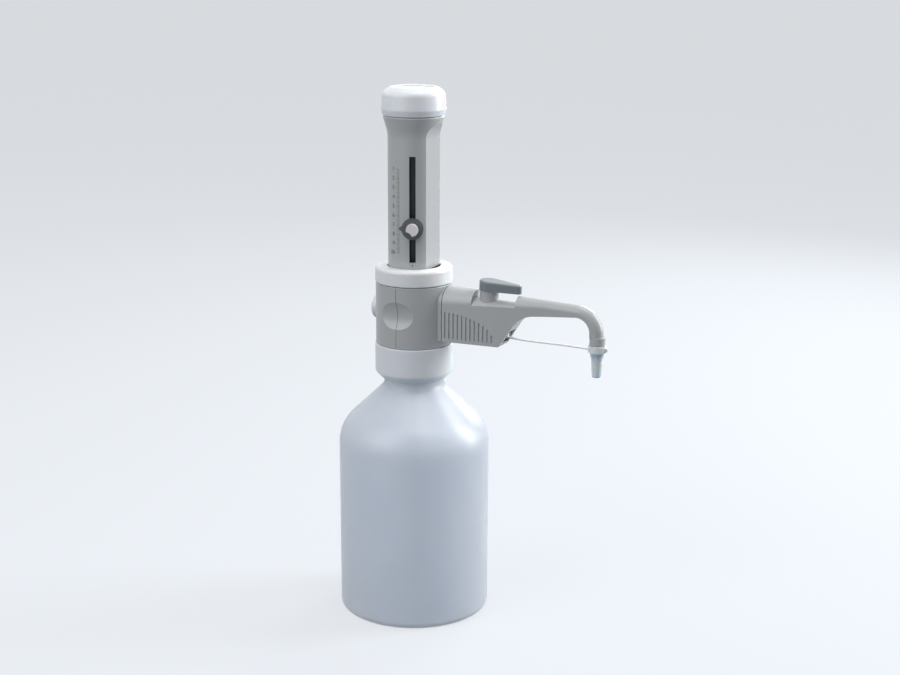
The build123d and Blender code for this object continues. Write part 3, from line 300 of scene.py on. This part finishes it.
def add_ticks():
    """All ticks in one mesh: longest at whole millilitres, shorter at halves, shortest at tenths."""
    shape = bmesh.new()
    for tick in range((LAST_VOLUME - FIRST_VOLUME) * TICKS_PER_ML + 1):
        at_whole = tick % TICKS_PER_ML == 0
        at_half = tick % (TICKS_PER_ML // 2) == 0
        length = WHOLE_TICK if at_whole else HALF_TICK if at_half else TENTH_TICK
        thickness = BOLD if at_half else FINE
        z = scale_z(FIRST_VOLUME + tick / TICKS_PER_ML)
        for segment in range(ceil(length)):
            share = min(1, length - segment)
            angle = TICK_RIGHT_ANGLE - (segment + share / 2) * SEGMENT_ANGLE
            width = sleeve_r * radians(SEGMENT_ANGLE) * share
            size = Matrix.Diagonal((width, thickness, 2 * INK_HEIGHT, 1))
            bmesh.ops.create_cube(shape, size=1, matrix=on_sleeve(angle, z) @ size)
    mesh = bpy.data.meshes.new("scale_ticks")
    shape.to_mesh(mesh)
    shape.free()
    print_on_sleeve("scale_ticks", mesh)


def add_number(volume):
    """The number beside a whole tick, flat and just off the sleeve."""
    letters = bpy.data.curves.new(f"number_{volume}", "FONT")
    letters.body = str(volume)
    letters.size = NUMBER_HEIGHT * SIZE_PER_HEIGHT
    letters.align_x = "RIGHT"
    letters.align_y = "CENTER"
    letters.extrude = INK_HEIGHT / 2
    letters.offset = STROKE_SPREAD
    holder = bpy.data.objects.new(f"number_text_{volume}", letters)
    scene.collection.objects.link(holder)
    mesh = bpy.data.meshes.new_from_object(holder)
    bpy.data.objects.remove(holder)
    lift_off = Matrix.Translation((0, 0, INK_HEIGHT))
    mesh.transform(on_sleeve(NUMBER_RIGHT_ANGLE, scale_z(volume)) @ lift_off)
    print_on_sleeve(f"scale_number_{volume}", mesh)


add_ticks()
for volume in range(FIRST_VOLUME, LAST_VOLUME + 1):
    add_number(volume)

# Studio
PAPER_GLOW = 0.70  # where white is 1
WORLD_FILL = 0.34
CAMERA_AZIMUTH = -62  # degrees from X, seen from above
LAMP_AIM = Vector((0.02, 0, 0.2))
LAMP_DISTANCE = 1.3


def seen_by_camera(tree):
    """A node that gives 1 to the camera, also by way of gloss and glass, and 0 where light is gathered."""
    path = add_node(tree, "ShaderNodeLightPath")
    seen = add_node(tree, "ShaderNodeMath", {"operation": "MAXIMUM"},
                    {0: (path, "Is Camera Ray"), 1: (path, "Is Glossy Ray")})
    return add_node(tree, "ShaderNodeMath", {"operation": "MAXIMUM"},
                    {0: (seen, "Value"), 1: (path, "Is Transmission Ray")})


def add_floor():
    """A paper sheet that glows pale to the camera and keeps the object's shadow."""
    bpy.ops.object.select_all(action="DESELECT")
    bpy.ops.mesh.primitive_plane_add(size=FLOOR_SIZE, location=(0, 0, 0))
    floor = bpy.context.object
    floor.name = "floor"
    material, tree = new_material("studio_paper")
    paper = add_node(tree, "ShaderNodeBsdfDiffuse", {"Color": srgb("#74787E")})
    level = add_node(tree, "ShaderNodeMath", {"operation": "MULTIPLY", 1: PAPER_GLOW},
                     {0: (seen_by_camera(tree), "Value")})
    glow = add_node(tree, "ShaderNodeEmission", {"Color": srgb("#F4F7FA")}, {"Strength": (level, "Value")})
    both = add_node(tree, "ShaderNodeAddShader", {}, {0: (paper, "BSDF"), 1: (glow, "Emission")})
    add_node(tree, "ShaderNodeOutputMaterial", {}, {"Surface": (both, "Shader")})
    floor.data.materials.append(material)


def add_world():
    """A world that fills the object's shadows softly and is white where it is seen."""
    world = bpy.data.worlds.new("studio")
    scene.world = world
    world.use_nodes = True
    tree = world.node_tree
    tree.nodes.clear()
    fill = add_node(tree, "ShaderNodeBackground", {"Color": srgb("#E8EDF4"), "Strength": WORLD_FILL})
    white = add_node(tree, "ShaderNodeBackground", {"Color": srgb("#FFFFFF"), "Strength": 1.0})
    mix = add_node(tree, "ShaderNodeMixShader", {},
                   {0: (seen_by_camera(tree), "Value"), 1: (fill, "Background"), 2: (white, "Background")})
    add_node(tree, "ShaderNodeOutputWorld", {}, {"Surface": (mix, "Shader")})


def add_softbox(name, turn, height, width, tall, power):
    """A soft lamp. Turn is in degrees from the camera towards its right, height in degrees above the aim."""
    lamp = bpy.data.lights.new(name, "AREA")
    lamp.shape = "RECTANGLE"
    lamp.size = width
    lamp.size_y = tall
    lamp.energy = power
    holder = bpy.data.objects.new(name, lamp)
    angle = radians(CAMERA_AZIMUTH + turn)
    rise = radians(height)
    away = Vector((cos(angle) * cos(rise), sin(angle) * cos(rise), sin(rise)))
    holder.location = LAMP_AIM + away * LAMP_DISTANCE
    holder.rotation_euler = away.to_track_quat("Z", "Y").to_euler()
    scene.collection.objects.link(holder)


add_floor()
add_world()
add_softbox("left_softbox", turn=-55, height=30, width=0.9, tall=1.1, power=7)
add_softbox("right_softbox", turn=100, height=22, width=0.5, tall=1.2, power=17)
add_softbox("rear_softbox", turn=150, height=30, width=0.6, tall=1.0, power=8)
add_softbox("top_softbox", turn=10, height=82, width=0.9, tall=0.9, power=7)
